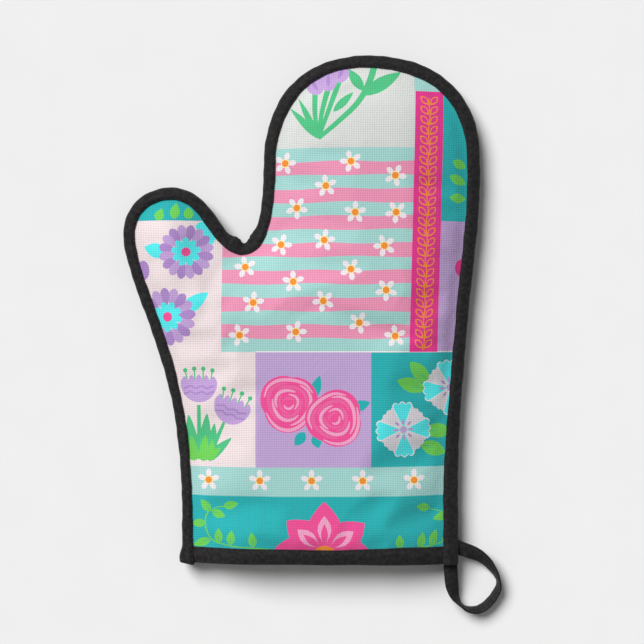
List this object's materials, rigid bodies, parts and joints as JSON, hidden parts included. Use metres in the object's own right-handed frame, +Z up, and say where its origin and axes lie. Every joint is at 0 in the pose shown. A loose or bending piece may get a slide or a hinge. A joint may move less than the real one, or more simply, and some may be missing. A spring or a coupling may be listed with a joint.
{
  "type": "oven mitt",
  "caption": "Padded right-hand oven mitt with a separate thumb, bound edges and a hanging loop, lying on its palm.",
  "frame": {"origin": "middle of the footprint, on the surface that the palm rests on", "axes": "+Y from the cuff to the finger tips, +Z up out of the back of the hand, thumb on the -X side"},
  "size_m": [0.2272, 0.3352, 0.0264],
  "materials": {
    "print_cloth": "woven cloth with a patchwork flower print",
    "palm_cloth": "plain woven cloth, matte",
    "batting": "needled fibre wadding",
    "lining": "plain woven cotton, matte",
    "binding_tape": "folded bias tape, matte",
    "thread": "twisted sewing thread, slight sheen"
  },
  "bodies": {
    "mitt": {"back_shell": "print_cloth", "back_batting": "batting", "back_lining": "lining", "palm_shell": "palm_cloth", "palm_batting": "batting", "palm_lining": "lining", "back_cuff_binding": "binding_tape", "back_cuff_needle_thread": "thread", "back_cuff_bobbin_thread": "thread", "palm_cuff_binding": "binding_tape", "palm_cuff_needle_thread": "thread", "palm_cuff_bobbin_thread": "thread", "edge_binding": "binding_tape", "edge_needle_thread": "thread", "edge_bobbin_thread": "thread"},
    "loop": {"hanging_loop": "binding_tape", "loop_needle_thread": "thread", "loop_bobbin_thread": "thread"}
  },
  "joints": [
    {"name": "loop_swing", "type": "hinge", "parent": "mitt", "child": "loop", "pos_m": [0.08535, -0.13451, 0.01], "axis": [-0.5235, -0.852, 0], "range_deg": [-90, 90]}
  ]
}
